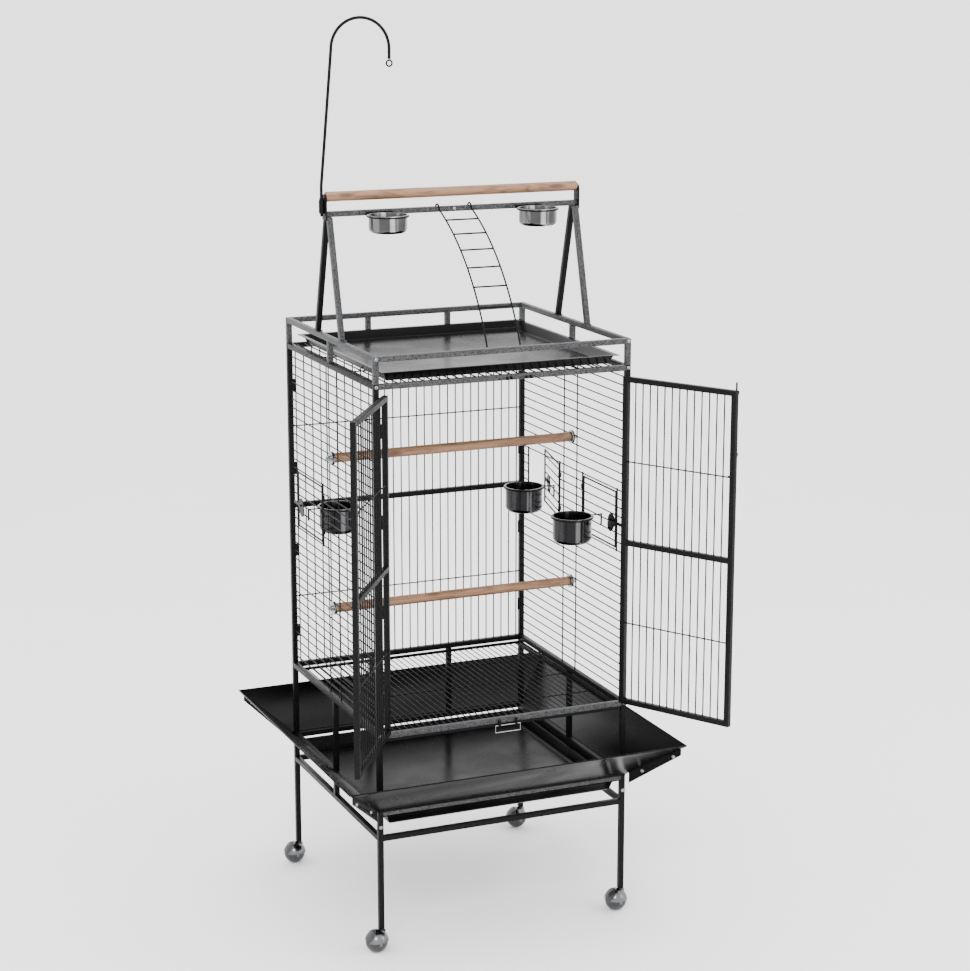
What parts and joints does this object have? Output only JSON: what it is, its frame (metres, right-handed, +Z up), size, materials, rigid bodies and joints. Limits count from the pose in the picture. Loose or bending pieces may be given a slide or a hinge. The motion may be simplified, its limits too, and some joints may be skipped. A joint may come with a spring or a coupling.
{
  "type": "bird cage on stand",
  "caption": "Play-top parrot cage on a wheeled stand with double doors, slide-out trays, seed guards, feeder cups, perches, a ladder and a toy hook",
  "frame": {"origin": "on the floor under the centre of the square cage frame", "axes": "+Z up, the doors face -Y, +X to the right seen from the front"},
  "size_m": [0.8748, 0.9409, 2.021],
  "materials": {
    "powder_coat": "dark hammered powder coat",
    "silver_vein": "black powder coat with silver veins",
    "gloss_black": "gloss black paint on pressed sheet",
    "bright_steel": "bright stainless steel",
    "dark_steel": "dark polished steel",
    "pine": "sanded pine",
    "caster_grey": "dull chrome caster hood",
    "caster_black": "hard dark caster ball"
  },
  "bodies": {
    "frame": {"stand_side_left": "powder_coat", "stand_side_right": "powder_coat", "stand_rails": "powder_coat", "base_side_left": "powder_coat", "base_side_right": "powder_coat", "base_rail_front": "silver_vein", "base_frame_rear": "powder_coat", "seed_guard_front": "gloss_black", "seed_guard_rear": "gloss_black", "seed_guard_left": "gloss_black", "seed_guard_right": "gloss_black", "frame_screws": "bright_steel", "sill_rail": "silver_vein", "side_panel_left": "powder_coat", "side_panel_right": "powder_coat", "rear_panel": "powder_coat", "header_rail": "silver_vein", "door_hinge_pins": "bright_steel", "perch_upper": "pine", "perch_lower": "pine", "perch_clamps": "bright_steel", "roof_grille": "powder_coat", "play_rim": "silver_vein", "play_leg_left": "silver_vein", "play_leg_right": "silver_vein", "crossbar": "silver_vein", "bowl_rings": "powder_coat", "top_perch": "pine"},
    "caster_front_left": {"caster_hood_front_left": "caster_grey"},
    "ball_front_left": {"caster_ball_front_left": "caster_black"},
    "caster_rear_left": {"caster_hood_rear_left": "caster_grey"},
    "ball_rear_left": {"caster_ball_rear_left": "caster_black"},
    "caster_front_right": {"caster_hood_front_right": "caster_grey"},
    "ball_front_right": {"caster_ball_front_right": "caster_black"},
    "caster_rear_right": {"caster_hood_rear_right": "caster_grey"},
    "ball_rear_right": {"caster_ball_rear_right": "caster_black"},
    "left_door": {"door_left": "powder_coat"},
    "right_door": {"door_right": "powder_coat"},
    "left_bolt": {"door_bolt_left": "powder_coat"},
    "right_bolt": {"door_bolt_right": "powder_coat"},
    "dropping_tray_body": {"dropping_tray": "gloss_black"},
    "grate_body": {"floor_grate": "powder_coat"},
    "grate_pull_body": {"grate_pull": "bright_steel"},
    "play_tray_body": {"play_tray": "gloss_black"},
    "feeder_left_rear": {"feeder_door_left_rear": "powder_coat", "feeder_ring_left_rear": "powder_coat"},
    "cup_left_rear": {"feeder_cup_left_rear": "dark_steel"},
    "latch_left_rear": {"feeder_latch_left_rear": "gloss_black"},
    "feeder_right_front": {"feeder_door_right_front": "powder_coat", "feeder_ring_right_front": "powder_coat"},
    "cup_right_front": {"feeder_cup_right_front": "dark_steel"},
    "latch_right_front": {"feeder_latch_right_front": "gloss_black"},
    "feeder_right_rear": {"feeder_door_right_rear": "powder_coat", "feeder_ring_right_rear": "powder_coat"},
    "cup_right_rear": {"feeder_cup_right_rear": "dark_steel"},
    "latch_right_rear": {"feeder_latch_right_rear": "gloss_black"},
    "left_bowl": {"bowl_left": "bright_steel"},
    "right_bowl": {"bowl_right": "bright_steel"},
    "ladder_body": {"ladder": "powder_coat"},
    "toy_hook_body": {"toy_hook": "powder_coat"}
  },
  "joints": [
    {"name": "caster_swivel_front_left", "type": "hinge", "parent": "frame", "child": "caster_front_left", "pos_m": [-0.294, -0.282, 0.06], "axis": [0, 0, 1], "continuous": true},
    {"name": "caster_roll_front_left", "type": "hinge", "parent": "caster_front_left", "child": "ball_front_left", "pos_m": [-0.305, -0.282, 0.025], "axis": [0, 1, 0], "continuous": true},
    {"name": "caster_swivel_rear_left", "type": "hinge", "parent": "frame", "child": "caster_rear_left", "pos_m": [-0.294, 0.282, 0.06], "axis": [0, 0, 1], "continuous": true},
    {"name": "caster_roll_rear_left", "type": "hinge", "parent": "caster_rear_left", "child": "ball_rear_left", "pos_m": [-0.305, 0.282, 0.025], "axis": [0, 1, 0], "continuous": true},
    {"name": "caster_swivel_front_right", "type": "hinge", "parent": "frame", "child": "caster_front_right", "pos_m": [0.294, -0.282, 0.06], "axis": [0, 0, 1], "continuous": true},
    {"name": "caster_roll_front_right", "type": "hinge", "parent": "caster_front_right", "child": "ball_front_right", "pos_m": [0.283, -0.282, 0.025], "axis": [0, 1, 0], "continuous": true},
    {"name": "caster_swivel_rear_right", "type": "hinge", "parent": "frame", "child": "caster_rear_right", "pos_m": [0.294, 0.282, 0.06], "axis": [0, 0, 1], "continuous": true},
    {"name": "caster_roll_rear_right", "type": "hinge", "parent": "caster_rear_right", "child": "ball_rear_right", "pos_m": [0.283, 0.282, 0.025], "axis": [0, 1, 0], "continuous": true},
    {"name": "left_door_hinge", "type": "hinge", "parent": "frame", "child": "left_door", "pos_m": [-0.2875, -0.2928, 0.88], "axis": [0, 0, -1], "range_deg": [-124, 4]},
    {"name": "right_door_hinge", "type": "hinge", "parent": "frame", "child": "right_door", "pos_m": [0.2875, -0.2928, 0.88], "axis": [0, 0, 1], "range_deg": [-120, 6]},
    {"name": "left_bolt_slide", "type": "slide", "parent": "left_door", "child": "left_bolt", "axis": [0, 0, 1], "range_m": [0, 0.03]},
    {"name": "right_bolt_slide", "type": "slide", "parent": "right_door", "child": "right_bolt", "axis": [0, 0, -1], "range_m": [0, 0.03]},
    {"name": "dropping_tray_slide", "type": "slide", "parent": "frame", "child": "dropping_tray_body", "axis": [0, -1, 0], "range_m": [0, 0.45]},
    {"name": "grate_slide", "type": "slide", "parent": "frame", "child": "grate_body", "axis": [0, -1, 0], "range_m": [0, 0.45]},
    {"name": "play_tray_slide", "type": "slide", "parent": "frame", "child": "play_tray_body", "axis": [0, -1, 0], "range_m": [0, 0.45]},
    {"name": "grate_pull_hinge", "type": "hinge", "parent": "grate_body", "child": "grate_pull_body", "pos_m": [0.006, -0.292, 0.489], "axis": [-1, 0, 0], "range_deg": [0, 85]},
    {"name": "feeder_hinge_left_rear", "type": "hinge", "parent": "frame", "child": "feeder_left_rear", "pos_m": [-0.294, 0.062, 0.915], "axis": [0, 0, 1], "range_deg": [0, 90]},
    {"name": "cup_lift_left_rear", "type": "slide", "parent": "feeder_left_rear", "child": "cup_left_rear", "axis": [0, 0, 1], "range_m": [0, 0.05]},
    {"name": "latch_turn_left_rear", "type": "hinge", "parent": "feeder_left_rear", "child": "latch_left_rear", "pos_m": [-0.294, 0.206, 0.905], "axis": [-1, 0, 0], "range_deg": [-90, 90]},
    {"name": "feeder_hinge_right_front", "type": "hinge", "parent": "frame", "child": "feeder_right_front", "pos_m": [0.294, -0.062, 0.915], "axis": [0, 0, 1], "range_deg": [0, 90]},
    {"name": "cup_lift_right_front", "type": "slide", "parent": "feeder_right_front", "child": "cup_right_front", "axis": [0, 0, 1], "range_m": [0, 0.05]},
    {"name": "latch_turn_right_front", "type": "hinge", "parent": "feeder_right_front", "child": "latch_right_front", "pos_m": [0.294, -0.206, 0.905], "axis": [1, 0, 0], "range_deg": [-90, 90]},
    {"name": "feeder_hinge_right_rear", "type": "hinge", "parent": "frame", "child": "feeder_right_rear", "pos_m": [0.294, 0.062, 0.915], "axis": [0, 0, -1], "range_deg": [-13, 77]},
    {"name": "cup_lift_right_rear", "type": "slide", "parent": "feeder_right_rear", "child": "cup_right_rear", "axis": [0, 0, 1], "range_m": [0, 0.05]},
    {"name": "latch_turn_right_rear", "type": "hinge", "parent": "feeder_right_rear", "child": "latch_right_rear", "pos_m": [0.32639, 0.20231, 0.905], "axis": [0.9744, -0.225, 0], "range_deg": [-90, 90]},
    {"name": "left_bowl_lift", "type": "slide", "parent": "frame", "child": "left_bowl", "axis": [0, 0, 1], "range_m": [0, 0.06]},
    {"name": "right_bowl_lift", "type": "slide", "parent": "frame", "child": "right_bowl", "axis": [0, 0, 1], "range_m": [0, 0.06]},
    {"name": "ladder_hinge", "type": "hinge", "parent": "frame", "child": "ladder_body", "pos_m": [0, 0, 1.6], "axis": [-1, 0, 0], "range_deg": [0, 60]},
    {"name": "toy_hook_swivel", "type": "hinge", "parent": "frame", "child": "toy_hook_body", "pos_m": [-0.3085, 0, 1.62], "axis": [0, 0, 1], "range_deg": [-90, 90]}
  ]
}
